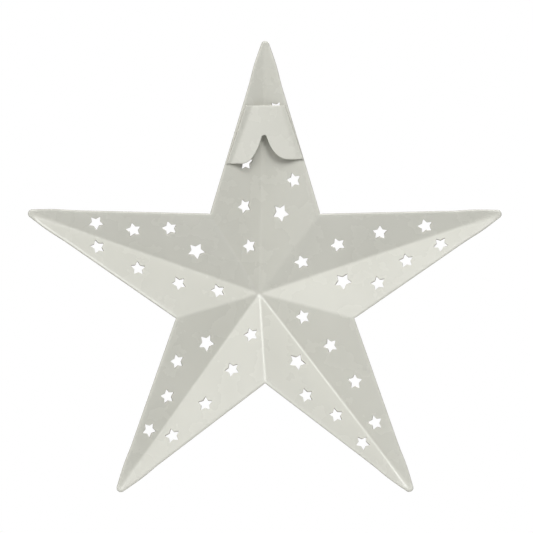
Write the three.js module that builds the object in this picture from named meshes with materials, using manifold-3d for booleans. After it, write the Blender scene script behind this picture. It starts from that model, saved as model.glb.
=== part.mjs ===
// Wall tealight holder. A five-pointed star is pressed from sheet steel and pierced with
// small stars. A folded hanger behind its top arm takes a nail, and a flat bar welded into
// the valley below its peak carries a riveted tealight cup in front of it.
//
// Millimetres, +Z up. The wall is on the +Y side and the cup stands out towards -Y.
// Sizes are taken from the star's centre, on the plane of its back rim. At the end the
// whole group is shifted, so that the origin is the point where the nail takes the weight.

import * as THREE from 'three';
import { mergeVertices } from 'three/addons/utils/BufferGeometryUtils.js';
import loadManifold from 'manifold-3d';

const wasm = await loadManifold();
wasm.setup();

// ---- Star shell ----
const arms = 5;
const pointReach = 159.4; // centre to where an arm's two straight edges would meet
const cornerReach = 57.5; // centre to each inner corner
const tipRadius = 2.8; // rounding of an arm's tip
const tipSteps = 8;
const starSheet = 1.2; // painted sheet
const pressDepth = 22.5; // rim to peak
const peakX = 3.0; // the peak stands a little off the centre
const peakZ = -1.9;

// ---- Stars pierced in each arm ----
const smallPierce = { point: 4.9, waist: 2.6 }; // centre to point, centre to inner corner
const largePierce = { point: 5.7, waist: 3.05 };
// along: share of the way out to the arm's end; across: share of the half width there,
// positive on the anticlockwise side seen from the front; turn: one point's angle from
// the arm's axis, in degrees.
const pierced = [
  { along: 0.17, across: -0.23, turn: 53, cut: smallPierce },
  { along: 0.297, across: 0.286, turn: 30, cut: largePierce },
  { along: 0.322, across: -0.38, turn: 45, cut: smallPierce },
  { along: 0.421, across: 0.633, turn: 59, cut: smallPierce },
  { along: 0.489, across: -0.468, turn: 69, cut: smallPierce },
  { along: 0.551, across: 0.452, turn: 62, cut: smallPierce },
  { along: 0.662, across: -0.409, turn: 54, cut: smallPierce },
  { along: 0.696, across: 0.455, turn: 34, cut: smallPierce },
];

// ---- Hanger behind the top arm ----
const hangerSheet = 1.0;
const hangerDrop = 47.25; // the arm's end down to the hanger's top edge
const hangerSink = 0.3; // the plate's back below the plane of the rim
const seatDrop = 17.65; // the hanger's top edge down to the nail seat
const seatX = 0.6;
const nailRadius = 1.5; // the notch's rounded head
// Each side's margin inside the arm's edge, its leg's length, the slope at which the notch
// opens and how far its curve runs along the leg's foot.
const hangerSides = {
  left: { sign: 1, topMargin: 2.3, footMargin: 0.9, leg: 35.25, splay: 16, curve: 7.8 },
  right: { sign: -1, topMargin: 0.4, footMargin: 0.4, leg: 32.55, splay: 17, curve: 9.6 },
};

// ---- Tealight cup ----
const tealight = 38.0; // the candle's metal case
const tealightPlay = 0.4; // all round it
const cupSheet = 0.6;
const cupDepth = 14.0;
const cupCorner = 1.5; // inside, between floor and wall
const hemHeight = 3.0; // the rim is folded down outside
const dimpleRadius = 4.4; // seat of the rivet's head, sunk in the floor
const dimpleDepth = 1.5;
const dimpleSlope = 1.0;
const cupFloorDrop = 21.3; // the star's centre down to the cup's floor
const cupBehind = 1.5; // from the peak's front to the cup
const cupSteps = 48; // round its axis

// ---- Bar and rivet ----
const barWidth = 5.0;
const barThick = 2.0;
const footLength = 20.0; // along the valley, below the bar
const rivetRadius = 1.2;
const rivetHead = 2.7;
const rivetHeadHeight = 1.0;
const rivetTail = 2.2;
const rivetTailHeight = 0.9;
const rivetSteps = 24; // round its axis

// ---- Clearances ----
const weldGap = 0.3; // between pieces that are welded or riveted together
const reach = 400; // larger than the whole part

const paint = { color: 0xd3d2ca, roughness: 0.42, metalness: 0.0 };

// ---- Sizes that follow ----
const UP = new THREE.Vector3(0, 0, 1);
const TO_WALL = new THREE.Vector3(0, 1, 0);
const halfSector = Math.PI / arms;
const edgeSlope =
  (cornerReach * Math.sin(halfSector)) / (pointReach - cornerReach * Math.cos(halfSector));
const edgeAngle = Math.atan(edgeSlope);
const edgeDistance = pointReach * Math.sin(edgeAngle);
const facetAngle = Math.atan2(pressDepth, edgeDistance);
const rimLean = starSheet * Math.sin(facetAngle); // the square-cut rim's front edge outside
const rimFall = starSheet * Math.cos(facetAngle); // and how far it is in front
const backShare = (edgeDistance - rimLean) / edgeDistance;
const backPeak = new THREE.Vector3(peakX, -pressDepth * backShare, peakZ);
const frontPeak = new THREE.Vector3(peakX, -pressDepth - rimFall, peakZ);

const hangerTop = pointReach - hangerDrop;
const seatZ = hangerTop - seatDrop;
const nailSeat = new THREE.Vector3(seatX, -hangerSink - hangerSheet / 2, seatZ);

const cupBore = tealight / 2 + tealightPlay;
const cupOutside = cupBore + 2 * cupSheet;
const cupY = frontPeak.y - cupBehind - cupOutside;
const dimpleUnder = dimpleDepth + cupSheet; // below the floor's upper face
const barTop = -cupFloorDrop - dimpleUnder - weldGap;
const barX = valleyX(barTop - barThick - footLength / 2);
const rivetHole = rivetRadius + weldGap;

// ---- Helpers ----
function polar(distance, angle) {
  return new THREE.Vector2(distance * Math.cos(angle), distance * Math.sin(angle));
}

function armAxis(arm) {
  return Math.PI / 2 + 2 * halfSector * arm;
}

// The valley from the peak to the bottom inner corner, as an X for each height.
function valleyX(z) {
  return (peakX * (z + cornerReach)) / (peakZ + cornerReach);
}

// A closed three.js geometry as a solid that can be cut and joined.
function solid(geometry) {
  const bare = geometry.clone();
  bare.deleteAttribute('normal');
  bare.deleteAttribute('uv');
  const merged = mergeVertices(bare, 1e-4);
  return new wasm.Manifold(
    new wasm.Mesh({
      numProp: 3,
      vertProperties: new Float32Array(merged.attributes.position.array),
      triVerts: new Uint32Array(merged.index.array),
    }),
  );
}

function geometryOf(shape) {
  const mesh = shape.getMesh();
  const geometry = new THREE.BufferGeometry();
  geometry.setAttribute('position', new THREE.BufferAttribute(mesh.vertProperties, 3));
  geometry.setIndex(new THREE.BufferAttribute(mesh.triVerts, 1));
  return geometry;
}

// An outline drawn in X and Z, carried along Y from one plane to another.
function wallPrism(outline, front, back, curveSegments = 12) {
  const prism = new THREE.ExtrudeGeometry(outline, {
    depth: back - front,
    bevelEnabled: false,
    curveSegments,
  });
  prism.rotateX(Math.PI / 2);
  prism.translate(0, back, 0);
  return solid(prism);
}

// Everything on the far side of a plane, seen along its normal.
function behind(point, normal) {
  const block = new THREE.BoxGeometry(reach, reach, reach);
  block.translate(0, 0, -reach / 2);
  block.applyQuaternion(new THREE.Quaternion().setFromUnitVectors(UP, normal));
  block.translate(point.x, point.y, point.z);
  return solid(block);
}

// One flat facet of the star: its normal towards the wall and a point on its back.
// side is 1 for the facet on the arm's anticlockwise side, seen from the front.
function facet(arm, side) {
  const tip = polar(pointReach * backShare, armAxis(arm));
  const corner = polar(cornerReach * backShare, armAxis(arm) + side * halfSector);
  const toTip = new THREE.Vector3(tip.x, 0, tip.y).sub(backPeak);
  const toCorner = new THREE.Vector3(corner.x, 0, corner.y).sub(backPeak);
  const normal = toTip.cross(toCorner).normalize();
  if (normal.y < 0) normal.negate();
  return { normal, point: backPeak };
}

function shifted(face, distance) {
  return face.point.clone().addScaledVector(face.normal, distance);
}

// ---- Star shell ----
// The rim, with rounded tips; inset moves every edge in by the same distance.
function starOutline(inset) {
  const share = (edgeDistance - inset) / edgeDistance;
  const radius = tipRadius - inset;
  const centreReach = pointReach * share - radius / Math.sin(edgeAngle);
  const swing = Math.PI / 2 - edgeAngle;
  const outline = [];
  for (let arm = 0; arm < arms; arm++) {
    const axis = armAxis(arm);
    const centre = polar(centreReach, axis);
    for (let step = 0; step <= tipSteps; step++) {
      const turn = axis + swing * ((2 * step) / tipSteps - 1);
      outline.push(polar(radius, turn).add(centre));
    }
    outline.push(polar(cornerReach * share, axis + halfSector));
  }
  return outline;
}

// Facets from the peak to the rim, front and back, closed by the cut edge.
function pressedStar() {
  const back = starOutline(rimLean);
  const front = starOutline(0);
  const count = back.length;
  const positions = [
    ...backPeak.toArray(),
    ...frontPeak.toArray(),
    ...back.flatMap((p) => [p.x, 0, p.y]),
    ...front.flatMap((p) => [p.x, -rimFall, p.y]),
  ];
  const faces = [];
  for (let i = 0; i < count; i++) {
    const b0 = 2 + i;
    const b1 = 2 + ((i + 1) % count);
    const f0 = b0 + count;
    const f1 = b1 + count;
    faces.push(0, b1, b0, 1, f0, f1, b0, b1, f1, b0, f1, f0);
  }
  const geometry = new THREE.BufferGeometry();
  geometry.setAttribute('position', new THREE.Float32BufferAttribute(positions, 3));
  geometry.setIndex(faces);
  return solid(geometry);
}

// A punch square to its facet, at its place on an arm.
function punch(arm, hole) {
  const side = Math.sign(hole.across);
  const face = facet(arm, side);
  const axis = armAxis(arm);
  const along = hole.along * pointReach;
  const across = hole.across * edgeSlope * (pointReach - along);
  const place = polar(along, axis).add(polar(across, axis + Math.PI / 2));
  const offset = new THREE.Vector3(place.x, 0, place.y).sub(face.point);
  const y = -face.normal.dot(offset) / face.normal.y;

  const outline = new THREE.Shape();
  for (let corner = 0; corner < 10; corner++) {
    const radius = corner % 2 === 0 ? hole.cut.point : hole.cut.waist;
    const p = polar(radius, (corner * Math.PI) / 5);
    if (corner === 0) outline.moveTo(p.x, p.y);
    else outline.lineTo(p.x, p.y);
  }
  outline.closePath();
  const length = 4 * starSheet;
  const tool = new THREE.ExtrudeGeometry(outline, { depth: length, bevelEnabled: false });
  tool.translate(0, 0, -length / 2);
  tool.rotateZ(THREE.MathUtils.degToRad(hole.turn));

  const forward = face.normal.clone().negate();
  const outward = new THREE.Vector3(Math.cos(axis), 0, Math.sin(axis));
  outward.addScaledVector(forward, -outward.dot(forward)).normalize();
  const sideways = forward.clone().cross(outward);
  const middle = new THREE.Vector3(place.x, y, place.y).addScaledVector(
    forward,
    starSheet / 2,
  );
  const frame = new THREE.Matrix4().makeBasis(outward, sideways, forward);
  tool.applyMatrix4(frame.setPosition(middle));
  return solid(tool);
}

function starShell() {
  let shell = pressedStar();
  for (let arm = 0; arm < arms; arm++) {
    for (const hole of pierced) shell = shell.subtract(punch(arm, hole));
  }
  return shell;
}

// ---- Hanger ----
function hangerFoot(side) {
  return hangerTop - side.leg;
}

function hangerEdgeX(side, z, margin) {
  return side.sign * (edgeSlope * (pointReach - z) - margin);
}

// One side of the notch: a curve from the rounded head to the leg's foot, drawn towards
// the corner that its first direction makes with the foot.
function notchSide(side) {
  const splay = THREE.MathUtils.degToRad(side.splay);
  const start = new THREE.Vector2(
    seatX + side.sign * nailRadius * Math.cos(splay),
    seatZ - nailRadius + nailRadius * Math.sin(splay),
  );
  const fall = start.y - hangerFoot(side);
  const corner = start.clone().sub(new THREE.Vector2(-side.sign * fall * Math.tan(splay), fall));
  const end = corner.clone().setX(corner.x + side.sign * side.curve);
  return { splay, start, corner, end };
}

// Plate and both flanges in one outline, with the notch between two rounded legs.
function hangerOutline() {
  const { left, right } = hangerSides;
  const l = notchSide(left);
  const r = notchSide(right);
  const outline = new THREE.Shape();
  outline.moveTo(hangerEdgeX(left, hangerFoot(left), left.footMargin), hangerFoot(left));
  outline.lineTo(hangerEdgeX(left, hangerTop, left.topMargin), hangerTop);
  outline.lineTo(hangerEdgeX(right, hangerTop, right.topMargin), hangerTop);
  outline.lineTo(hangerEdgeX(right, hangerFoot(right), right.footMargin), hangerFoot(right));
  outline.lineTo(r.end.x, r.end.y);
  outline.quadraticCurveTo(r.corner.x, r.corner.y, r.start.x, r.start.y);
  outline.absarc(seatX, seatZ - nailRadius, nailRadius, Math.PI - r.splay, l.splay, true);
  outline.quadraticCurveTo(l.corner.x, l.corner.y, l.end.x, l.end.y);
  outline.closePath();
  return outline;
}

// The sheet bridges the valley as a plate, and its flanges lie on the two facets.
function hangerBracket() {
  const faces = [facet(0, 1), facet(0, -1)];
  const plateBack = new THREE.Vector3(0, -hangerSink, 0);
  const above = (lift, plateFall) => {
    let part = wallPrism(hangerOutline(), -reach / 4, reach / 4);
    for (const face of faces) part = part.subtract(behind(shifted(face, lift), face.normal));
    const plate = plateBack.clone().addScaledVector(TO_WALL, -plateFall);
    return part.subtract(behind(plate, TO_WALL));
  };
  return above(weldGap, hangerSheet).subtract(above(weldGap + hangerSheet, 0));
}

// ---- Bar ----
// The foot lies in the valley on the two facets beside it, and the bar stands out from
// the foot's top, under the cup.
function cupArm() {
  const faces = [facet(2, 1), facet(3, -1)];
  const footBottom = barTop - barThick - footLength;
  const strip = new THREE.Shape();
  strip.moveTo(barX - barWidth / 2, footBottom);
  strip.lineTo(barX + barWidth / 2, footBottom);
  strip.lineTo(barX + barWidth / 2, barTop);
  strip.lineTo(barX - barWidth / 2, barTop);
  strip.closePath();

  const clearOf = (part, lift) => {
    let cut = part;
    for (const face of faces) {
      const front = shifted(face, -starSheet - lift);
      cut = cut.subtract(behind(front, face.normal.clone().negate()));
    }
    return cut;
  };
  const slab = wallPrism(strip, -reach / 4, reach / 4);
  const foot = slab.subtract(clearOf(slab, weldGap + barThick));

  const bar = new THREE.Shape();
  bar.moveTo(barX + barWidth / 2, 0);
  bar.lineTo(barX - barWidth / 2, 0);
  bar.lineTo(barX - barWidth / 2, cupY);
  bar.absarc(barX, cupY, barWidth / 2, Math.PI, 2 * Math.PI, false);
  bar.closePath();
  const hole = new THREE.Path();
  hole.absarc(barX, cupY, rivetHole, 0, 2 * Math.PI, true);
  bar.holes.push(hole);
  const flat = new THREE.ExtrudeGeometry(bar, {
    depth: barThick,
    bevelEnabled: false,
    curveSegments: 16,
  });
  flat.translate(0, 0, barTop - barThick);
  return clearOf(foot.add(solid(flat)), weldGap);
}

// ---- Cup ----
function arcPoints(x, y, radius, from, to, steps) {
  const points = [];
  for (let step = 0; step <= steps; step++) {
    const angle = from + ((to - from) * step) / steps;
    points.push(new THREE.Vector2(x + radius * Math.cos(angle), y + radius * Math.sin(angle)));
  }
  return points;
}

// Floor, wall and folded rim, from the inside of the rivet's hole round to its outside.
function tealightCup() {
  const right = Math.PI / 2;
  const bottom = -cupSheet;
  const profile = [
    new THREE.Vector2(rivetHole, -dimpleUnder),
    new THREE.Vector2(dimpleRadius + cupSheet / 2, -dimpleUnder),
    new THREE.Vector2(dimpleRadius + dimpleSlope, bottom),
    ...arcPoints(cupBore - cupCorner, cupCorner, cupCorner + cupSheet, -right, 0, 6),
    new THREE.Vector2(cupBore + cupSheet, cupDepth - hemHeight),
    new THREE.Vector2(cupOutside, cupDepth - hemHeight),
    ...arcPoints(cupBore + cupSheet, cupDepth - cupSheet, cupSheet, 0, 2 * right, 6),
    ...arcPoints(cupBore - cupCorner, cupCorner, cupCorner, 0, -right, 6),
    new THREE.Vector2(dimpleRadius + dimpleSlope, 0),
    new THREE.Vector2(dimpleRadius, -dimpleDepth),
    new THREE.Vector2(rivetHole, -dimpleDepth),
  ];
  profile.push(profile[0].clone());
  return turned(profile, cupSteps);
}

// ---- Rivet ----
// Its domed head lies in the dimple, and its tail is closed over under the bar.
function cupRivet() {
  const headUnder = -dimpleDepth + weldGap;
  const tailTop = barTop + cupFloorDrop - barThick - weldGap;
  const shoulder = 0.5; // share of the head's and tail's height that is upright
  const profile = [
    new THREE.Vector2(0, tailTop - rivetTailHeight),
    new THREE.Vector2(rivetTail * 0.6, tailTop - rivetTailHeight),
    new THREE.Vector2(rivetTail, tailTop - rivetTailHeight * shoulder),
    new THREE.Vector2(rivetTail, tailTop),
    new THREE.Vector2(rivetRadius, tailTop),
    new THREE.Vector2(rivetRadius, headUnder),
    new THREE.Vector2(rivetHead, headUnder),
    new THREE.Vector2(rivetHead, headUnder + rivetHeadHeight * shoulder),
    new THREE.Vector2(rivetHead * 0.6, headUnder + rivetHeadHeight),
    new THREE.Vector2(0, headUnder + rivetHeadHeight),
  ];
  return turned(profile, rivetSteps);
}

// A profile of radius and height turned about the upright axis.
function turned(profile, steps) {
  const lathe = new THREE.LatheGeometry(profile, steps);
  lathe.rotateX(Math.PI / 2);
  return solid(lathe);
}

// ---- Assembly ----
const holder = new THREE.Group();
holder.name = 'wall_tealight_holder';
holder.position.copy(nailSeat).negate();

function place(name, shape, position = new THREE.Vector3()) {
  const mesh = new THREE.Mesh(geometryOf(shape), new THREE.MeshStandardMaterial(paint));
  mesh.name = name;
  mesh.position.copy(position);
  holder.add(mesh);
}

const cupFloor = new THREE.Vector3(barX, cupY, -cupFloorDrop);
place('star_shell', starShell());
place('hanger_bracket', hangerBracket());
place('cup_arm', cupArm());
place('tealight_cup', tealightCup(), cupFloor);
place('cup_rivet', cupRivet(), cupFloor);

export default holder;
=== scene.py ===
"""Wall tealight holder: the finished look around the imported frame.

A pressed and pierced sheet-metal star with a folded nail hanger behind its top arm, and
a riveted tealight cup on a flat bar in front, all in one satin paint. Sizes are in
millimetres from the star's centre, on the plane of its back rim: x to the right and z up
as seen from the front, and depth towards the front. mesh_object turns them into metres in
the frame.
"""

import math

import bpy
import numpy as np
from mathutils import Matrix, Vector
from mathutils.geometry import delaunay_2d_cdt


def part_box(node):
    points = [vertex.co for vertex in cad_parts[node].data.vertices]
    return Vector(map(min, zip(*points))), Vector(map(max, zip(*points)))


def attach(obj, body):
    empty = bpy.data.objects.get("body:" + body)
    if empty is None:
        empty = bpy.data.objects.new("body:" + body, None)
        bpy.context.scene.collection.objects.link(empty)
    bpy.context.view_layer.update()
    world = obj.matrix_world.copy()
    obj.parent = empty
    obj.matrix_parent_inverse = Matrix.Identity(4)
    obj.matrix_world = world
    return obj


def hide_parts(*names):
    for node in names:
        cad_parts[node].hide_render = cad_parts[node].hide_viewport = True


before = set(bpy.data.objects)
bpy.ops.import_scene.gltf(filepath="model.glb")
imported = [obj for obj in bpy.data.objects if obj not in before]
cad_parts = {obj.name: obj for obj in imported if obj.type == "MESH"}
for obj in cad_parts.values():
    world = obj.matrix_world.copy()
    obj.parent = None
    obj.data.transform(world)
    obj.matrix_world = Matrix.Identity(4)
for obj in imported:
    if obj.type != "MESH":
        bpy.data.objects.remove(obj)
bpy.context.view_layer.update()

MM = 0.001

# ---- Meshing of sheet ----
EDGE_STEPS = 5  # rows of points in each rounding of a cut edge
OUTLINE_STRIP = 0.4  # the blank's inner points keep this far inside its outline's rounding
HOLE_STRIP = 0.7  # and this far from a hole
HOLE_REACH = 12.0  # only points this near to a hole's middle are tested against it
MERGE_WITHIN = 1e-6
SLOPE_STEP = 0.01

# ---- Star ----
ARMS = 5
POINT_REACH = 159.4  # centre to where an arm's straight edges would meet
CORNER_REACH = 57.5
TIP_RADIUS = 2.8
CORNER_RADIUS = 0.9
SHEET = 1.2
PRESS_DEPTH = 22.5
PEAK = np.array([3.0, -1.9])
CREASE_RADIUS = 1.1  # half the width over which an arm's crease is rounded
TIP_CREASE_RADIUS = 3.0  # the same in the last of each tip
RIDGE_RADIUS = 1.3  # the same for the folds that end in the inner corners
SOFT_FROM, SOFT_TO = 122.0, 149.0  # between them a fold widens to that
TIP_FULLNESS = 0.45  # how far an arm's edges swell just before its tip
FULL_FROM, FULL_TO = 124.0, 151.0
RIDGE_FROM, RIDGE_TO = 2.0, 5.0  # beside a ridge, its rounding gives way to the crease's
TIP_NEAR = 12.0  # a tip's cone ends within this of its centre
PEAK_RINGS = 6.0  # the peak is meshed in rings out to here

HALF_SECTOR = math.pi / ARMS
EDGE_SLOPE = (CORNER_REACH * math.sin(HALF_SECTOR)) / (
    POINT_REACH - CORNER_REACH * math.cos(HALF_SECTOR)
)
EDGE_ANGLE = math.atan(EDGE_SLOPE)
EDGE_DISTANCE = POINT_REACH * math.sin(EDGE_ANGLE)
FACET_ANGLE = math.atan2(PRESS_DEPTH, EDGE_DISTANCE)
RIM_LEAN = SHEET * math.sin(FACET_ANGLE)
BACK_SHARE = (EDGE_DISTANCE - RIM_LEAN) / EDGE_DISTANCE
BACK_RADIUS = TIP_RADIUS - RIM_LEAN
PEAK_DEPTH = PRESS_DEPTH * BACK_SHARE
FRONT_PEAK_DEPTH = PRESS_DEPTH + SHEET * math.cos(FACET_ANGLE)

# ---- Pierced stars: share along the arm, share across it, turn in degrees, size ----
SMALL_PIERCE = (4.9, 2.6)
LARGE_PIERCE = (5.7, 3.05)
PIERCED = [
    (0.17, -0.23, 53, SMALL_PIERCE),
    (0.297, 0.286, 30, LARGE_PIERCE),
    (0.322, -0.38, 45, SMALL_PIERCE),
    (0.421, 0.633, 59, SMALL_PIERCE),
    (0.489, -0.468, 69, SMALL_PIERCE),
    (0.551, 0.452, 62, SMALL_PIERCE),
    (0.662, -0.409, 54, SMALL_PIERCE),
    (0.696, 0.455, 34, SMALL_PIERCE),
]
POINT_ROUND = 0.3  # rounding of a pierced star's points and waists
WAIST_ROUND = 0.6

# ---- Hanger ----
HANGER_SHEET = 1.0
HANGER_TOP = POINT_REACH - 46.65
PLATE_HEIGHT = 34.0
PLATE_TOP_WIDTH, PLATE_FOOT_WIDTH = 20.0, 40.0
HANGER_LIFT = 0.15  # flange off the facet
HANGER_FOLD = 1.1
SEAT_X = 0.6
SEAT_Z = HANGER_TOP - 18.25
NAIL_RADIUS = 1.5
# side, margin inside the arm's edge at the top and at the foot, leg, the slope at which
# the notch opens and how far its curve runs along the foot
HANGER_SIDES = ((1, 2.3, 1.4, 35.85, 16.0, 7.8), (-1, 2.2, 0.6, 33.15, 17.0, 9.6))
PLATE_SINK = ((1.5, 0.35), (0.3, 0.1))  # at the top and at the foot: +x side, -x side

# ---- Cup, bar and rivet ----
CUP_BORE = 19.4
CUP_SHEET = 0.6
CUP_DEPTH = 14.0
CUP_CORNER = 1.5
HEM_HEIGHT = 3.0
DIMPLE_RADIUS = 4.4
DIMPLE_DEPTH = 1.5
DIMPLE_SLOPE = 1.0
CUP_FLOOR = -21.3
CUP_BEHIND = 1.5
BAR_WIDTH = 5.0
BAR_THICK = 2.0
FOOT_LENGTH = 20.0
WELD_GAP = 0.3
RIVET_RADIUS = 1.2
RIVET_HEAD = 2.7
RIVET_HEAD_HEIGHT = 1.0
RIVET_TAIL = 2.2
RIVET_TAIL_HEIGHT = 0.9
RIVET_HEAD_EDGE = 0.2  # the head's upright edge, below its dome
TAIL_SQUARENESS = 0.8  # under 1, the tail's dome is flatter than an ellipse
BAR_END_SPARE = 5.0  # the path runs on past the bar's rounded end
FOLD_BEFORE, FOLD_AFTER = 6.0, 2.0  # the bar's fold fades out about the bend's start
FOLD_SLOPE, FOLD_ROUND = 0.29, 0.8
FOOT_ROUND = 0.8

CUP_OUTSIDE = CUP_BORE + 2 * CUP_SHEET
CUP_AHEAD = FRONT_PEAK_DEPTH + CUP_BEHIND + CUP_OUTSIDE
BAR_TOP = CUP_FLOOR - DIMPLE_DEPTH - CUP_SHEET - WELD_GAP
BAR_X = (
    PEAK[0]
    * (BAR_TOP - BAR_THICK - FOOT_LENGTH / 2 + CORNER_REACH)
    / (PEAK[1] + CORNER_REACH)
)


def star_centre():
    """The star's centre on its rim's plane, in metres: halfway between the side tips, one
    tip's reach under the top tip and at the star's back."""
    low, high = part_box("star_shell")
    tip_end = POINT_REACH - TIP_RADIUS / math.sin(EDGE_ANGLE) + TIP_RADIUS
    return np.array([(low[0] + high[0]) / 2, high[1], high[2] - tip_end * MM])


CENTRE = star_centre()


# ---- Curves in the flat ----
def polar(distance, angle):
    """Points at a distance and an angle from the middle."""
    distance, angle = np.broadcast_arrays(distance, angle)
    return np.stack([distance * np.cos(angle), distance * np.sin(angle)], axis=-1)


def line(start, end, step):
    """Evenly spaced points from start up to, but without, end."""
    start, end = np.asarray(start, float), np.asarray(end, float)
    count = max(1, int(round(np.linalg.norm(end - start) / step)))
    t = np.arange(count)[:, None] / count
    return start + (end - start) * t


def arc(centre, radius, start, end, count):
    """Points round a circle's centre from one angle to another, both ends included."""
    return np.asarray(centre) + polar(radius, np.linspace(start, end, count + 1))


def bend(start, corner, end, count):
    """A quadratic curve from start to end, drawn towards corner, without its end."""
    t = (np.arange(count) / count)[:, None]
    start, corner, end = (np.asarray(p, float) for p in (start, corner, end))
    return (1 - t) ** 2 * start + 2 * t * (1 - t) * corner + t**2 * end


def rounded(corners, radii, step, turn_step=math.radians(12)):
    """A polygon with each corner replaced by an arc that touches both its sides; the
    arc's centre lies on the corner's bisector at radius over the sine of half the
    corner."""
    corners = np.asarray(corners, float)
    radii = np.broadcast_to(radii, len(corners))
    before = np.roll(corners, 1, axis=0) - corners
    after = np.roll(corners, -1, axis=0) - corners
    before /= np.linalg.norm(before, axis=1)[:, None]
    after /= np.linalg.norm(after, axis=1)[:, None]
    half = np.arccos(np.clip((before * after).sum(1), -1, 1)) / 2
    bisector = before + after
    bisector /= np.linalg.norm(bisector, axis=1)[:, None]
    centres = corners + bisector * (radii / np.sin(half))[:, None]
    tangent = radii / np.tan(half)
    starts = corners + before * tangent[:, None]
    ends = corners + after * tangent[:, None]
    pieces = []
    for i in range(len(corners)):
        a0, a1 = (math.atan2(*(p - centres[i])[::-1]) for p in (starts[i], ends[i]))
        swing = (a1 - a0 + math.pi) % (2 * math.pi) - math.pi
        count = max(2, int(math.ceil(abs(swing) / turn_step)))
        pieces.append(arc(centres[i], radii[i], a0, a0 + swing, count))
        pieces.append(line(ends[i], starts[(i + 1) % len(corners)], step)[1:])
    return np.concatenate(pieces)


def edge_normals(loop):
    """Unit normals of a closed anticlockwise loop, pointing out of it."""
    tangent = np.roll(loop, -1, axis=0) - np.roll(loop, 1, axis=0)
    tangent /= np.linalg.norm(tangent, axis=1)[:, None]
    return np.stack([tangent[:, 1], -tangent[:, 0]], axis=1)


def inside(points, loop):
    """Whether each point is inside a closed loop: a ray to the right crosses it an odd
    number of times."""
    low, high = loop.min(0), loop.max(0)
    near = ((points >= low) & (points <= high)).all(1)
    found = np.zeros(len(points), bool)
    p = points[near]
    a, b = loop, np.roll(loop, -1, axis=0)
    spans = (a[:, 1] > p[:, 1:2]) != (b[:, 1] > p[:, 1:2])
    rise = np.where(b[:, 1] == a[:, 1], 1.0, b[:, 1] - a[:, 1])
    cross = a[:, 0] + (p[:, 1:2] - a[:, 1]) * (b[:, 0] - a[:, 0]) / rise
    found[near] = (spans & (p[:, :1] < cross)).sum(1) % 2 == 1
    return found


def clearance(points, loop):
    """Distance from each point to the nearest corner of a loop."""
    gap = np.full(len(points), np.inf)
    for first in range(0, len(loop), 64):
        part = points[:, None] - loop[None, first : first + 64]
        gap = np.minimum(gap, np.sqrt((part**2).sum(-1)).min(1))
    return gap


# ---- Meshes ----
def mesh_object(name, points, faces):
    """A closed mesh from points in millimetres (x, depth to the front, z) and faces."""
    places = np.stack([points[:, 0], -points[:, 1], points[:, 2]], axis=1) * MM + CENTRE
    mesh = bpy.data.meshes.new(name)
    mesh.from_pydata(places.tolist(), [], faces)
    mesh.update()
    mesh.shade_smooth()
    piece = bpy.data.objects.new(name, mesh)
    bpy.context.scene.collection.objects.link(piece)
    return piece


def cut_edge(thick, back_reach, back_drop, front_round):
    """A cut edge's section, from the back face to the front one, as insets from the edge
    and depths in the sheet: a quarter ellipse, the straight cut and a quarter circle."""
    turn = np.linspace(0, math.pi / 2, EDGE_STEPS + 1)
    inset = [
        back_reach * (1 - np.sin(turn)),
        front_round * (1 - np.cos(turn)),
        [back_reach],
    ]
    depth = [
        back_drop * (1 - np.cos(turn)),
        thick - front_round * (1 - np.sin(turn)),
        [thick],
    ]
    return np.concatenate(inset), np.concatenate(depth)


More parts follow.
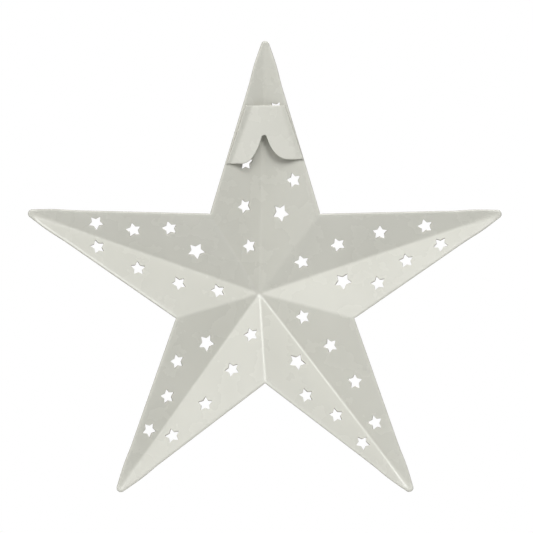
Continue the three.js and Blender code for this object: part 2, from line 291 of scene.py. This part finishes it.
def sheet_piece(name, outline, holes, fill, surface, thick, edge, hole_edge=None):
    """Sheet metal. The flat blank is triangulated between its outline and its holes, and
    surface puts each blank point on the back face. The front face is the back one moved
    along its normal by the thickness. Between them, the edge's section is carried round
    the outline, and the holes' own section round each hole. The straight cut is marked for
    the paint, which darkens it to brown: partly thin paint on the cut, partly painted shade
    for the shade that falls on hole walls and under lower edges."""
    sections = [edge] + [hole_edge] * len(holes)
    loops = [outline] + [hole[::-1] for hole in holes]
    outward = [edge_normals(outline)] + [-edge_normals(hole)[::-1] for hole in holes]
    sizes = [len(loop) for loop in loops]
    firsts = np.concatenate([[0], np.cumsum(sizes)])
    rim = np.concatenate(loops)
    out = np.concatenate(outward)
    insets = np.repeat([section[0] for section in sections], sizes, axis=0).T
    depths = np.repeat([section[1] for section in sections], sizes, axis=0).T
    inner = rim - insets[0][:, None] * out

    margin = edge[0][0]
    keep = inside(fill, outline) & (clearance(fill, outline) > margin + OUTLINE_STRIP)
    for hole in holes:
        near = np.linalg.norm(fill - hole.mean(0), axis=1) < HOLE_REACH
        near_points = fill[near]
        clear = ~inside(near_points, hole) & (clearance(near_points, hole) > HOLE_STRIP)
        keep[near] &= clear
    blank = np.concatenate([inner, fill[keep]])

    edges = []
    for first, size in zip(firsts, sizes):
        index = first + np.arange(size)
        edges += np.stack([index, np.roll(index, -1)], axis=1).tolist()
    flat = [Vector(p) for p in blank]
    made, _, faces, origins = delaunay_2d_cdt(flat, edges, [], 0, MERGE_WITHIN)[:4]
    if len(made) != len(blank):
        raise RuntimeError(f"{name}: the blank's outline crosses itself")
    source = np.array([origin[0] for origin in origins])
    triangles = source[np.array(faces)]
    middle = blank[triangles].mean(1)
    shrunk = [inner[a:b] for a, b in zip(firsts, firsts[1:])]
    wanted = inside(middle, shrunk[0])
    for hole in shrunk[1:]:
        wanted &= ~inside(middle, hole)
    triangles = triangles[wanted]
    a, b, c = (blank[triangles[:, i]] for i in range(3))
    area = (b[:, 0] - a[:, 0]) * (c[:, 1] - a[:, 1]) - (b[:, 1] - a[:, 1]) * (
        c[:, 0] - a[:, 0]
    )
    triangles[area < 0] = triangles[area < 0][:, ::-1]

    spots, normals = on_surface(blank, surface)
    count, ring = len(blank), len(rim)
    points = [spots, spots + thick * normals]
    rings = [np.arange(ring)]
    for inset, down in zip(insets[1:-1], depths[1:-1]):
        level, level_normals = on_surface(rim - inset[:, None] * out, surface)
        rings.append(2 * count + (len(rings) - 1) * ring + np.arange(ring))
        points.append(level + down[:, None] * level_normals)
    rings.append(count + np.arange(ring))

    following = np.concatenate(
        [first + np.roll(np.arange(size), -1) for first, size in zip(firsts, sizes)]
    )
    quads = [
        np.stack([near, near[following], far[following], far], axis=1)
        for near, far in zip(rings, rings[1:])
    ]
    faces = triangles[:, ::-1].tolist() + (triangles + count).tolist()
    piece = mesh_object(name, np.concatenate(points), faces + np.concatenate(quads).tolist())
    # mask of the straight cut, painted dark brown: partly thin paint, partly painted shade on
    # hole walls and lower edges
    edge_shade_mask = np.zeros(len(piece.data.vertices), np.float32)
    edge_shade_mask[np.concatenate([rings[EDGE_STEPS], rings[EDGE_STEPS + 1]])] = 1
    piece.data.attributes.new("thin_paint_and_shade", "FLOAT", "POINT").data.foreach_set("value", edge_shade_mask)
    return piece


def on_surface(blank, surface):
    """Points of a surface and its unit normals, from the cross product of its two slopes
    taken over a short step each way."""
    step = SLOPE_STEP
    along = surface(blank + [step, 0]) - surface(blank - [step, 0])
    up = surface(blank + [0, step]) - surface(blank - [0, step])
    normal = np.cross(up, along)
    return surface(blank), normal / np.linalg.norm(normal, axis=1)[:, None]


def turned_piece(name, profile, middle, steps, closed):
    """A profile of radius and height carried round an upright axis. A closed profile is a
    ring; an open one starts and ends on the axis, where one point closes each pole."""
    angle = np.arange(steps) * 2 * math.pi / steps
    rows = profile if closed else profile[1:-1]
    radius, height = rows[:, 0, None], rows[:, 1, None]
    grid = np.stack(
        [
            middle[0] + radius * np.cos(angle),
            middle[1] + radius * np.sin(angle),
            middle[2] + height + 0 * angle,
        ],
        axis=-1,
    )
    points = grid.reshape(-1, 3)
    count = len(rows)
    index = np.arange(count * steps).reshape(count, steps)
    low = index if closed else index[:-1]
    high = np.roll(index, -1, axis=0) if closed else index[1:]
    quads = np.stack(
        [low, high, np.roll(high, -1, axis=1), np.roll(low, -1, axis=1)], axis=-1
    )
    faces = quads.reshape(-1, 4).tolist()
    if not closed:
        ends = [[middle[0], middle[1], middle[2] + h] for h in profile[[0, -1], 1]]
        first, last = len(points), len(points) + 1
        points = np.concatenate([points, ends])
        ring = index[0]
        faces += np.stack([np.full(steps, first), ring, np.roll(ring, -1)], 1).tolist()
        ring = index[-1]
        faces += np.stack([np.full(steps, last), np.roll(ring, -1), ring], 1).tolist()
    return mesh_object(name, points, faces)


# ---- Star shell ----
def arm_axes():
    """The arms' directions from the centre: straight up, then evenly round."""
    return math.pi / 2 + 2 * HALF_SECTOR * np.arange(ARMS)


def swell(distance):
    """How far an arm's edge stands outside its straight line: a squared sine between two
    distances from the centre."""
    t = np.clip((distance - FULL_FROM) / (FULL_TO - FULL_FROM), 0, 1)
    return TIP_FULLNESS * np.sin(math.pi * t) ** 2


def star_outline():
    """The back rim: straight edges, rounded tips and inner corners, and edges that swell
    a little before each tip."""
    corners, radii = [], []
    for axis in arm_axes():
        corners += [
            polar(POINT_REACH * BACK_SHARE, axis),
            polar(CORNER_REACH * BACK_SHARE, axis + HALF_SECTOR),
        ]
        radii += [BACK_RADIUS, CORNER_RADIUS]
    loop = rounded(corners, radii, step=1.6, turn_step=math.radians(9))
    distance = np.linalg.norm(loop, axis=1)
    return loop + swell(distance)[:, None] * edge_normals(loop)


def facet_planes():
    """The ten facets in order round the peak. Each is the plane through the peak, a tip
    and an inner corner: depth is a + b x + c z. Also the angles of the folds between
    them, and the folds' outer ends."""
    ends = []
    for axis in arm_axes():
        ends.append(polar(POINT_REACH * BACK_SHARE, axis))
        ends.append(polar(CORNER_REACH * BACK_SHARE, axis + HALF_SECTOR))
    ends = np.array(ends)
    angles = np.arctan2(ends[:, 1] - PEAK[1], ends[:, 0] - PEAK[0]) % (2 * math.pi)
    order = np.argsort(angles)
    ends, angles = ends[order], angles[order]
    planes = []
    for first, second in zip(ends, np.roll(ends, -1, axis=0)):
        rows = np.column_stack([np.ones(3), np.array([PEAK, first, second])])
        planes.append(np.linalg.solve(rows, [PEAK_DEPTH, 0, 0]))
    return np.array(planes), angles, ends


PLANES, FOLD_ANGLES, FOLD_ENDS = facet_planes()
TIP_CENTRES = polar(
    POINT_REACH * BACK_SHARE - BACK_RADIUS / math.sin(EDGE_ANGLE), arm_axes()
)


def folded_depth(points):
    """Depth of the sharply folded star: the facet's plane, and in each rounded tip a
    shallow cone about the tip's centre."""
    x, z = points[..., 0], points[..., 1]
    angle = np.arctan2(z - PEAK[1], x - PEAK[0]) % (2 * math.pi)
    which = (np.searchsorted(FOLD_ANGLES, angle, side="right") - 1) % len(PLANES)
    plane = PLANES[which]
    depth = plane[..., 0] + plane[..., 1] * x + plane[..., 2] * z
    for centre, axis in zip(TIP_CENTRES, arm_axes()):
        off = points - centre
        out = off @ polar(1.0, axis)
        distance = np.linalg.norm(off, axis=-1)
        beyond = out > distance * math.sin(EDGE_ANGLE)
        cone = math.tan(FACET_ANGLE) * (BACK_RADIUS - distance)
        depth = np.where(beyond & (distance < TIP_NEAR), cone, depth)
    return depth


def disc(radius):
    """A centre and three rings of points that fill a disc evenly."""
    rings = [polar(radius * k / 3, np.arange(6 * k) * math.pi / (3 * k)) for k in (1, 2, 3)]
    return np.concatenate([np.zeros((1, 2))] + rings)


def rounded_depth(points, depth, radius):
    """The mean depth over a small disc, which rounds every fold and leaves flats alone."""
    total = 0
    offsets = disc(1.0)
    for offset in offsets:
        total = total + depth(points + radius * offset)
    return total / len(offsets)


def ease(value, low, high):
    """0 below low, 1 above high and 3 t^2 - 2 t^3 between them."""
    t = np.clip((value - low) / (high - low), 0, 1)
    return t * t * (3 - 2 * t)


def fold_radius(points):
    """Half the width of a fold's rounding: one value beside a ridge, and one along the
    creases that grows towards the tips."""
    off = points - PEAK
    beside = np.full(len(points), np.inf)
    for end in FOLD_ENDS[np.linalg.norm(FOLD_ENDS, axis=1) < 2 * CORNER_REACH]:
        ray = (end - PEAK) / np.linalg.norm(end - PEAK)
        gap = np.abs(off @ np.array([-ray[1], ray[0]]))
        beside = np.minimum(beside, np.where(off @ ray > 0, gap, np.inf))
    ridge = 1 - ease(beside, RIDGE_FROM, RIDGE_TO)
    tip = ease(np.linalg.norm(points, axis=1), SOFT_FROM, SOFT_TO)
    crease = CREASE_RADIUS + (TIP_CREASE_RADIUS - CREASE_RADIUS) * tip
    return (crease + (RIDGE_RADIUS - crease) * ridge)[:, None]


def star_surface(points):
    """The star's back face: x, the folded depth with its folds rounded, and z."""
    depth = rounded_depth(points, folded_depth, fold_radius(points))
    return np.stack([points[:, 0], depth, points[:, 1]], axis=1)


def facet_plane_at(point):
    """The plane of the facet whose two folds lie on both sides of the point."""
    angle = math.atan2(point[1] - PEAK[1], point[0] - PEAK[0]) % (2 * math.pi)
    return PLANES[(np.searchsorted(FOLD_ANGLES, angle, side="right") - 1) % len(PLANES)]


def pierced_loops():
    """Every pierced star: ten corners at two radii by turns, rounded, drawn on its facet
    and seen from the front, where the facet's lean narrows it."""
    loops = []
    for axis in arm_axes():
        outward = polar(1.0, axis)
        sideways = polar(1.0, axis + math.pi / 2)
        for along_share, across_share, turn, (point, waist) in PIERCED:
            along = along_share * POINT_REACH
            across = across_share * EDGE_SLOPE * (POINT_REACH - along)
            place = along * outward + across * sideways
            corner = np.arange(2 * ARMS)
            radius = np.where(corner % 2 == 0, point, waist)
            flat = rounded(
                polar(radius, corner * HALF_SECTOR + math.radians(turn)),
                np.where(corner % 2 == 0, POINT_ROUND, WAIST_ROUND),
                step=0.6,
                turn_step=math.radians(24),
            )
            _, b, c = facet_plane_at(place)
            forward = np.array([-b, 1.0, -c]) / math.sqrt(1 + b * b + c * c)
            first = np.array([outward[0], 0, outward[1]])
            first -= (first @ forward) * forward
            first /= np.linalg.norm(first)
            second = np.cross(first, forward)
            drawn = flat[:, :1] * first + flat[:, 1:] * second
            loops.append(place + drawn[:, [0, 2]])
    return loops


def star_fill():
    """Blank points: rows beside every fold, rings round the peak and an even grid."""
    rows = []
    half = np.array([0.25, 0.5, 0.75, 1.0, 1.3, 1.7, 2.4])
    across = np.concatenate([-half[::-1], [0], half])
    row_step, ring_step, ring_points = 1.5, 0.4, 60
    pitch, row_share, reach = 3.0, 0.866, 60
    for end in FOLD_ENDS:
        ray = end - PEAK
        length = np.linalg.norm(ray)
        ray /= length
        side = np.array([-ray[1], ray[0]])
        distance = np.arange(PEAK_RINGS, length + 1, row_step)
        spots = PEAK + distance[:, None, None] * ray + across[None, :, None] * side
        rows.append(spots.reshape(-1, 2))
    turn = np.linspace(0, 2 * math.pi, ring_points + 1)[:-1]
    for radius in np.arange(ring_step, PEAK_RINGS, ring_step):
        rows.append(PEAK + polar(radius, turn))
    i, j = np.meshgrid(np.arange(-reach, reach + 1), np.arange(-reach, reach + 1))
    grid = np.stack([(i + 0.5 * (j % 2)) * pitch, j * pitch * row_share], axis=-1)
    grid = grid.reshape(-1, 2)
    off = grid - PEAK
    clear = np.linalg.norm(off, axis=1) > PEAK_RINGS + 0.5
    for end in FOLD_ENDS:
        ray = (end - PEAK) / np.linalg.norm(end - PEAK)
        beside = np.abs(off @ np.array([-ray[1], ray[0]])) < half[-1] + 0.6
        clear &= ~(beside & (off @ ray > 0))
    return np.concatenate(rows + [grid[clear]])


def star_shell():
    """The pressed sheet, its rim rolled back a little and its pierced stars cut sharper."""
    return sheet_piece(
        "star_sheet",
        star_outline(),
        pierced_loops(),
        star_fill(),
        star_surface,
        SHEET,
        cut_edge(SHEET, back_reach=1.8, back_drop=0.75, front_round=0.3),
        cut_edge(SHEET, back_reach=0.3, back_drop=0.2, front_round=0.25),
    )


# ---- Hanger ----
def hanger_depth(points):
    """The hanger's back: a slightly twisted plate over the valley, whose depth is bilinear
    between its four corners, and a flange parallel to the facet on each side, one sheet
    and a small lift behind it."""
    x, z = points[..., 0], points[..., 1]
    up = (z - (HANGER_TOP - PLATE_HEIGHT)) / PLATE_HEIGHT
    width = PLATE_FOOT_WIDTH + (PLATE_TOP_WIDTH - PLATE_FOOT_WIDTH) * up
    across = 0.5 + x / width
    (top_plus, top_minus), (foot_plus, foot_minus) = PLATE_SINK
    top = top_minus + (top_plus - top_minus) * across
    foot = foot_minus + (foot_plus - foot_minus) * across
    depth = foot + (top - foot) * up
    for side in (1, -1):
        a, b, c = facet_plane_at((side * PLATE_TOP_WIDTH / 2, HANGER_TOP - PLATE_HEIGHT))
        raised = (HANGER_SHEET + HANGER_LIFT) * math.sqrt(1 + b * b + c * c)
        depth = np.minimum(depth, a + b * x + c * z - raised)
    return depth


def hanger_surface(points):
    """The hanger's back face: x, the plate's depth with its two folds rounded, and z."""
    depth = rounded_depth(points, hanger_depth, HANGER_FOLD)
    return np.stack([points[:, 0], depth, points[:, 1]], axis=1)


def notch_side(side, leg, slope, curve):
    """One side of the notch: where it leaves the rounded head, the corner that its first
    direction makes with the leg's foot, and where its curve meets the foot."""
    splay = math.radians(slope)
    centre = np.array([SEAT_X, SEAT_Z - NAIL_RADIUS])
    start = centre + NAIL_RADIUS * np.array([side * math.cos(splay), math.sin(splay)])
    fall = start[1] - (HANGER_TOP - leg)
    corner = start + [side * fall * math.tan(splay), -fall]
    return splay, start, corner, corner + [side * curve, 0]


def hanger_outline():
    """Seen from the front, anticlockwise: up the right side, over the top, down the left
    one and back along both legs with the notch between them."""
    step, notch_steps, head_steps = 1.0, 24, 14
    edges = []
    for side, top_margin, foot_margin, leg, slope, curve in HANGER_SIDES:
        foot = HANGER_TOP - leg
        at_top = side * (EDGE_SLOPE * (POINT_REACH - HANGER_TOP) - top_margin)
        at_foot = side * (EDGE_SLOPE * (POINT_REACH - foot) - foot_margin)
        notch = notch_side(side, leg, slope, curve)
        edges.append(((at_foot, foot), (at_top, HANGER_TOP), notch))
    (a_foot, a_top, a_notch), (b_foot, b_top, b_notch) = edges
    a_splay, a_start, a_corner, a_end = a_notch
    b_splay, b_start, b_corner, b_end = b_notch
    centre = (SEAT_X, SEAT_Z - NAIL_RADIUS)
    return np.concatenate(
        [
            line(a_foot, a_top, step),
            line(a_top, b_top, step),
            line(b_top, b_foot, step),
            line(b_foot, b_end, step),
            bend(b_end, b_corner, b_start, notch_steps),
            arc(centre, NAIL_RADIUS, math.pi - b_splay, a_splay, head_steps)[:-1],
            bend(a_start, a_corner, a_end, notch_steps),
            line(a_end, a_foot, step),
        ]
    )


def hanger_bracket():
    """The folded plate, from an even grid of blank points inside its outline."""
    pitch = 0.7
    outline = hanger_outline()
    low, high = outline.min(0), outline.max(0)
    x, z = np.meshgrid(
        np.arange(low[0], high[0], pitch), np.arange(low[1], high[1], pitch)
    )
    fill = np.stack([x, z], axis=-1).reshape(-1, 2)
    edge = cut_edge(HANGER_SHEET, back_reach=0.55, back_drop=0.4, front_round=0.25)
    return sheet_piece("hanger_plate", outline, [], fill, hanger_surface, HANGER_SHEET, edge)


# ---- Cup, bar and rivet ----
def cup_profile():
    """Floor with its dimple, wall and folded rim, as one closed section: first along the
    underside and up the outside, then down the inside and back over the floor. Arcs turn
    the corners and the rim, and quadratic curves blend the dimple into the floor."""
    right = math.pi / 2
    bottom = -CUP_SHEET
    hole = RIVET_RADIUS
    under = -DIMPLE_DEPTH - CUP_SHEET
    foot = DIMPLE_RADIUS + DIMPLE_SLOPE
    hem = CUP_BORE + CUP_SHEET
    hem_foot = CUP_DEPTH - HEM_HEIGHT
    rim = CUP_DEPTH - CUP_SHEET
    corner = (CUP_BORE - CUP_CORNER, CUP_CORNER)
    slope_low, slope_high = (foot, bottom - 0.3), (DIMPLE_RADIUS + 0.6, -DIMPLE_DEPTH + 0.7)
    return np.concatenate(
        [
            line((hole, under), (DIMPLE_RADIUS, under), 0.8),
            bend((DIMPLE_RADIUS, under), (DIMPLE_RADIUS + CUP_SHEET, under), slope_low, 5),
            bend(slope_low, (foot + 0.1, bottom), (foot + 0.8, bottom), 4),
            line((foot + 0.8, bottom), (corner[0], bottom), 1.5),
            arc(corner, CUP_CORNER + CUP_SHEET, -right, 0, 10),
            line((hem, CUP_CORNER + 0.6), (hem, hem_foot), 1.2),
            arc((hem + 0.35, hem_foot + 0.25), 0.25, -right, 0, 4),
            line((CUP_OUTSIDE, hem_foot + 0.6), (CUP_OUTSIDE, rim), 0.6),
            arc((hem, rim), CUP_SHEET, 0, 2 * right, 14),
            line((CUP_BORE, rim - 0.4), (CUP_BORE, CUP_CORNER + 0.4), 1.2),
            arc(corner, CUP_CORNER, 0, -right, 10),
            line((corner[0] - 0.4, 0), (foot + 0.9, 0), 1.5),
            bend((foot + 0.9, 0), (foot + 0.1, 0), slope_high, 5),
            bend(
                slope_high,
                (DIMPLE_RADIUS + 0.2, -DIMPLE_DEPTH),
                (DIMPLE_RADIUS - 0.4, -DIMPLE_DEPTH),
                4,
            ),
            line((DIMPLE_RADIUS - 0.4, -DIMPLE_DEPTH), (hole, -DIMPLE_DEPTH), 0.8),
            [(hole, -DIMPLE_DEPTH)],
        ]
    )


def tealight_cup():
    """The cup's section turned round its upright middle."""
    return turned_piece(
        "pressed_cup", cup_profile(), (BAR_X, CUP_AHEAD, CUP_FLOOR), 128, closed=True
    )


def cup_rivet():
    """A domed head in the dimple, a shank, and a domed tail closed over under the bar:
    the head is a quarter of an ellipse and the tail a slightly squarer one."""
    quarter = np.linspace(0, math.pi / 2, 9)
    head_under = -DIMPLE_DEPTH
    tail_top = BAR_TOP - CUP_FLOOR - BAR_THICK
    tail = np.stack(
        [
            RIVET_TAIL * np.sin(quarter),
            tail_top - RIVET_TAIL_HEIGHT * np.cos(quarter) ** TAIL_SQUARENESS,
        ],
        axis=1,
    )
    head = np.stack(
        [
            RIVET_HEAD * np.cos(quarter),
            head_under + RIVET_HEAD_EDGE + RIVET_HEAD_HEIGHT * np.sin(quarter),
        ],
        axis=1,
    )
    shank = [(RIVET_RADIUS, tail_top), (RIVET_RADIUS, head_under), (RIVET_HEAD, head_under)]
    profile = np.concatenate([tail, shank, head])
    profile[-1, 0] = 0.0
    return turned_piece(
        "rivet", profile, (BAR_X, CUP_AHEAD, CUP_FLOOR), 64, closed=False
    )


VALLEY_SLOPE = PEAK_DEPTH / (PEAK[1] + CORNER_REACH * BACK_SHARE)
BEND_RADIUS = 4.0  # outside of the bar's bend
FOOT_GAP = 0.25  # between the star and the bar's foot


def bar_path():
    """Where the bar's back and upper face runs, as a table of length, depth and height:
    up the valley, round the bend and forward under the cup."""
    lean = math.atan(VALLEY_SLOPE)
    sheet_front = SHEET * math.sqrt(1 + VALLEY_SLOPE**2) + FOOT_GAP
    foot_z = BAR_TOP - BAR_THICK - FOOT_LENGTH

    def valley_depth(z):
        return VALLEY_SLOPE * (z + CORNER_REACH * BACK_SHARE) + sheet_front

    turn = math.pi / 2 - lean
    rise = BEND_RADIUS * (1 - math.sin(lean))
    start_z = BAR_TOP - rise
    start = np.array([valley_depth(start_z), start_z])
    middle = start + BEND_RADIUS * np.array([math.cos(lean), -math.sin(lean)])
    angle = math.pi - lean - np.linspace(0, turn, 25)
    curve = middle + polar(BEND_RADIUS, angle)
    foot = np.array([[valley_depth(foot_z), foot_z]])
    end = np.array([[CUP_AHEAD + BAR_WIDTH / 2 + BAR_END_SPARE, BAR_TOP]])
    places = np.concatenate([foot, curve, end])
    lengths = np.concatenate([[0], np.cumsum(np.linalg.norm(np.diff(places, axis=0), axis=1))])
    return lengths, places, lengths[1], lengths[-2]


BAR_LENGTHS, BAR_PLACES, BEND_FROM, BEND_TO = bar_path()
BAR_END = BEND_TO + CUP_AHEAD + BAR_WIDTH / 2 - BAR_PLACES[-2, 0]


def bar_surface(points):
    """The blank's length runs along the path. Below the bend the bar is also folded
    lengthwise, to lie on both sides of the valley: a hyperbola across it, which is a V
    with a round bottom."""
    x, length = points[:, 0], points[:, 1]
    depth = np.interp(length, BAR_LENGTHS, BAR_PLACES[:, 0])
    height = np.interp(length, BAR_LENGTHS, BAR_PLACES[:, 1])
    valley = PEAK[0] * (height + CORNER_REACH) / (PEAK[1] + CORNER_REACH)
    folded = 1 - ease(length, BEND_FROM - FOLD_BEFORE, BEND_FROM + FOLD_AFTER)
    rise = FOLD_SLOPE * (np.sqrt((x - valley) ** 2 + FOLD_ROUND**2) - FOLD_ROUND)
    return np.stack([x, depth + folded * rise, height], axis=1)


def cup_arm():
    """The flat bar: its straight blank, with one round end, carried along the path."""
    half = BAR_WIDTH / 2
    left, right = BAR_X - half, BAR_X + half
    outline = rounded(
        [(right, 0), (right, BAR_END), (left, BAR_END), (left, 0)],
        [FOOT_ROUND, half - 0.2, half - 0.2, FOOT_ROUND],
        step=1.0,
        turn_step=math.radians(9),
    )
    x = np.linspace(left, right, 13)[1:-1]
    length = np.concatenate(
        [
            np.arange(0.6, BEND_FROM, 1.0),
            np.linspace(BEND_FROM, BEND_TO, 24),
            np.arange(BEND_TO + 0.6, BAR_END, 1.0),
        ]
    )
    fill = np.stack(np.meshgrid(x, length), axis=-1).reshape(-1, 2)
    edge = cut_edge(BAR_THICK, back_reach=0.35, back_drop=0.35, front_round=0.35)
    return sheet_piece("flat_bar", outline, [], fill, bar_surface, BAR_THICK, edge)


# ---- Finishes ----
PAINT_DARK, PAINT_LIGHT = (0.640, 0.638, 0.577, 1), (0.668, 0.666, 0.604, 1)
# dark brown for the cut edges: thin paint, and also painted shade for the shade on hole walls
# and under edges
THIN_PAINT_AND_SHADE = (0.30, 0.27, 0.21, 1)
PAINT_GLOSS = (0.24, 0.30)  # roughness, from the glossiest spots to the dullest
FLOOR_TONE = (0.86, 0.86, 0.85, 1)


def node_tree(owner):
    """A material's or world's emptied node tree."""
    owner.use_nodes = True
    tree = owner.node_tree
    tree.nodes.clear()
    return tree


def add_node(tree, kind, **inputs):
    """A new node with constants set on its named inputs."""
    node = tree.nodes.new(kind)
    for name, value in inputs.items():
        node.inputs[name.replace("_", " ")].default_value = value
    return node


def noise(tree, place, scale, detail):
    """A noise pattern; scale counts its bumps per metre."""
    node = add_node(tree, "ShaderNodeTexNoise", Scale=scale, Detail=detail, Roughness=0.5)
    tree.links.new(place, node.inputs["Vector"])
    return node.outputs["Fac"]


def spread(tree, value, low, high):
    """Carries a noise value's middle half onto low to high."""
    node = add_node(tree, "ShaderNodeMapRange")
    span = {"From Min": 0.3, "From Max": 0.7, "To Min": low, "To Max": high}
    for name, number in span.items():
        node.inputs[name].default_value = number
    tree.links.new(value, node.inputs["Value"])
    return node.outputs["Result"]


def satin_paint():
    """Warm grey sprayed enamel, baked to a satin: slow drifts of tone and gloss, the fine
    ripple that a sprayed coat dries to, and the sheets' cut edges painted dark brown, partly
    as thin paint there and partly as painted shade for the shade on hole walls and under
    edges."""
    material = bpy.data.materials.new("satin_grey_enamel")
    tree = node_tree(material)
    place = tree.nodes.new("ShaderNodeTexCoord").outputs["Object"]
    drift = spread(tree, noise(tree, place, 18.0, 3.0), 0.0, 1.0)
    tone = tree.nodes.new("ShaderNodeMix")
    tone.data_type = "RGBA"
    tone.inputs["A"].default_value = PAINT_DARK
    tone.inputs["B"].default_value = PAINT_LIGHT
    tree.links.new(drift, tone.inputs["Factor"])
    # the cut edges darkened to brown: thin paint there, and painted shade where hole walls and
    # lower edges fall in shade
    cut = tree.nodes.new("ShaderNodeAttribute")
    cut.attribute_name = "thin_paint_and_shade"
    edge_shade_mix = add_node(tree, "ShaderNodeMath")
    edge_shade_mix.operation = "MULTIPLY"
    tree.links.new(cut.outputs["Fac"], edge_shade_mix.inputs[0])
    tree.links.new(spread(tree, noise(tree, place, 90.0, 2.0), 0.6, 1.0), edge_shade_mix.inputs[1])
    coat = tree.nodes.new("ShaderNodeMix")
    coat.data_type = "RGBA"
    tree.links.new(edge_shade_mix.outputs["Value"], coat.inputs["Factor"])
    tree.links.new(tone.outputs["Result"], coat.inputs["A"])
    coat.inputs["B"].default_value = THIN_PAINT_AND_SHADE
    shader = add_node(tree, "ShaderNodeBsdfPrincipled", IOR=1.5)
    tree.links.new(coat.outputs["Result"], shader.inputs["Base Color"])
    gloss = spread(tree, noise(tree, place, 60.0, 4.0), *PAINT_GLOSS)
    tree.links.new(gloss, shader.inputs["Roughness"])
    ripple = add_node(tree, "ShaderNodeBump", Strength=0.10, Distance=0.0002)
    tree.links.new(noise(tree, place, 700.0, 2.0), ripple.inputs["Height"])
    tree.links.new(ripple.outputs["Normal"], shader.inputs["Normal"])
    output = tree.nodes.new("ShaderNodeOutputMaterial")
    tree.links.new(shader.outputs["BSDF"], output.inputs["Surface"])
    return material


def pale_floor():
    """Matt pale paint with a faint, coarse mottle in its surface."""
    material = bpy.data.materials.new("pale_studio_floor")
    tree = node_tree(material)
    place = tree.nodes.new("ShaderNodeTexCoord").outputs["Object"]
    shader = add_node(tree, "ShaderNodeBsdfPrincipled", Roughness=0.9)
    shader.inputs["Base Color"].default_value = FLOOR_TONE
    mottle = add_node(tree, "ShaderNodeBump", Strength=0.1, Distance=0.001)
    tree.links.new(noise(tree, place, 90.0, 3.0), mottle.inputs["Height"])
    tree.links.new(mottle.outputs["Normal"], shader.inputs["Normal"])
    output = tree.nodes.new("ShaderNodeOutputMaterial")
    tree.links.new(shader.outputs["BSDF"], output.inputs["Surface"])
    return material


# ---- Studio ----
LIGHT_DISTANCE = 4.0  # metres
FLOOR_HALF, FLOOR_DROP = 1.6, 1.0
EYE_DISTANCE, VIEW_WIDTH, SENSOR = 2.0, 0.3257, 36.0
EYE_ANGLES = (1.3, -1.6)


def studio_floor():
    """A pale floor well below the holder, which hangs."""
    half, height = FLOOR_HALF, CENTRE[2] - FLOOR_DROP
    mesh = bpy.data.meshes.new("studio_floor")
    corners = [(-half, -half), (half, -half), (half, half), (-half, half)]
    mesh.from_pydata([(x, y, height) for x, y in corners], [], [(0, 1, 2, 3)])
    mesh.materials.append(pale_floor())
    floor = bpy.data.objects.new("studio_floor", mesh)
    bpy.context.scene.collection.objects.link(floor)


def look_from(azimuth, elevation, distance, target):
    """A place at a distance from a target. Azimuth 0 is straight behind the holder and
    grows towards +X; degrees."""
    a, e = math.radians(azimuth), math.radians(elevation)
    away = Vector((math.sin(a) * math.cos(e), math.cos(a) * math.cos(e), math.sin(e)))
    return target + away * distance


def softbox(name, around, tilt, size, power):
    """A round light far enough away to light every arm alike. Around is its angle seen
    from behind, from the right-hand side towards the top, and tilt its angle from straight
    behind, in degrees. Size is per metre of distance and power for one metre."""
    light = bpy.data.lights.new(name, "AREA")
    light.shape = "DISK"
    light.size = size * LIGHT_DISTANCE
    light.energy = power * LIGHT_DISTANCE**2
    a, t = math.radians(around), math.radians(tilt)
    away = Vector((-math.sin(t) * math.cos(a), math.cos(t), math.sin(t) * math.sin(a)))
    lamp = bpy.data.objects.new(name, light)
    lamp.location = Vector(CENTRE) + away * LIGHT_DISTANCE
    lamp.rotation_euler = (-away).to_track_quat("-Z", "Y").to_euler()
    bpy.context.scene.collection.objects.link(lamp)


def studio_light():
    """Soft light from above and behind, whose smaller lights draw the folds' highlights,
    and two lights for the front."""
    softbox("overhead", 90, 43, 0.31, 2.5)
    softbox("broad_overhead", 90, 34, 1.0, 3.5)
    softbox("behind_camera", 72, 28, 0.22, 2.4)
    softbox("upper_left", 145, 50, 0.75, 1.25)
    softbox("upper_right", 30, 50, 0.75, 0.75)
    softbox("high_left", 135, 75, 0.75, 1.9)
    softbox("front_key", 60, 135, 0.58, 6.2)
    softbox("front_fill", 170, 130, 0.58, 2.2)


def white_surroundings():
    """A plain white background, which lights the holder only softly."""
    world = bpy.data.worlds.new("white_surroundings")
    bpy.context.scene.world = world
    tree = node_tree(world)
    seen = tree.nodes.new("ShaderNodeLightPath").outputs["Is Camera Ray"]
    glow = add_node(tree, "ShaderNodeBackground", Strength=0.02)
    white = add_node(tree, "ShaderNodeBackground", Strength=1.0)
    for shade in (glow, white):
        shade.inputs["Color"].default_value = (1, 1, 1, 1)
    mix = tree.nodes.new("ShaderNodeMixShader")
    tree.links.new(seen, mix.inputs["Fac"])
    tree.links.new(glow.outputs["Background"], mix.inputs[1])
    tree.links.new(white.outputs["Background"], mix.inputs[2])
    output = tree.nodes.new("ShaderNodeOutputWorld")
    tree.links.new(mix.outputs["Shader"], output.inputs["Surface"])


def camera():
    """Square behind the holder, a little to its +X side and below, as far away as a
    portrait lens needs to stand."""
    target = Vector(CENTRE) + Vector((-0.0008, 0, 0.0140))
    data = bpy.data.cameras.new("camera")
    data.sensor_width = SENSOR
    data.lens = SENSOR * EYE_DISTANCE / VIEW_WIDTH
    eye = bpy.data.objects.new("camera", data)
    place = look_from(*EYE_ANGLES, EYE_DISTANCE, Vector(CENTRE))
    eye.location = place
    eye.rotation_euler = (target - place).to_track_quat("-Z", "Y").to_euler()
    bpy.context.scene.collection.objects.link(eye)
    bpy.context.scene.camera = eye


# ---- Assembly ----
PIECES = {
    "star_shell": star_shell,
    "hanger_bracket": hanger_bracket,
    "cup_arm": cup_arm,
    "tealight_cup": tealight_cup,
    "cup_rivet": cup_rivet,
}

camera()
white_surroundings()
studio_light()
studio_floor()
bpy.context.scene.view_settings.view_transform = "Standard"

paint = satin_paint()
for node, make in PIECES.items():
    piece = make()
    piece.data.materials.append(paint)
    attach(piece, "root")
    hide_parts(node)
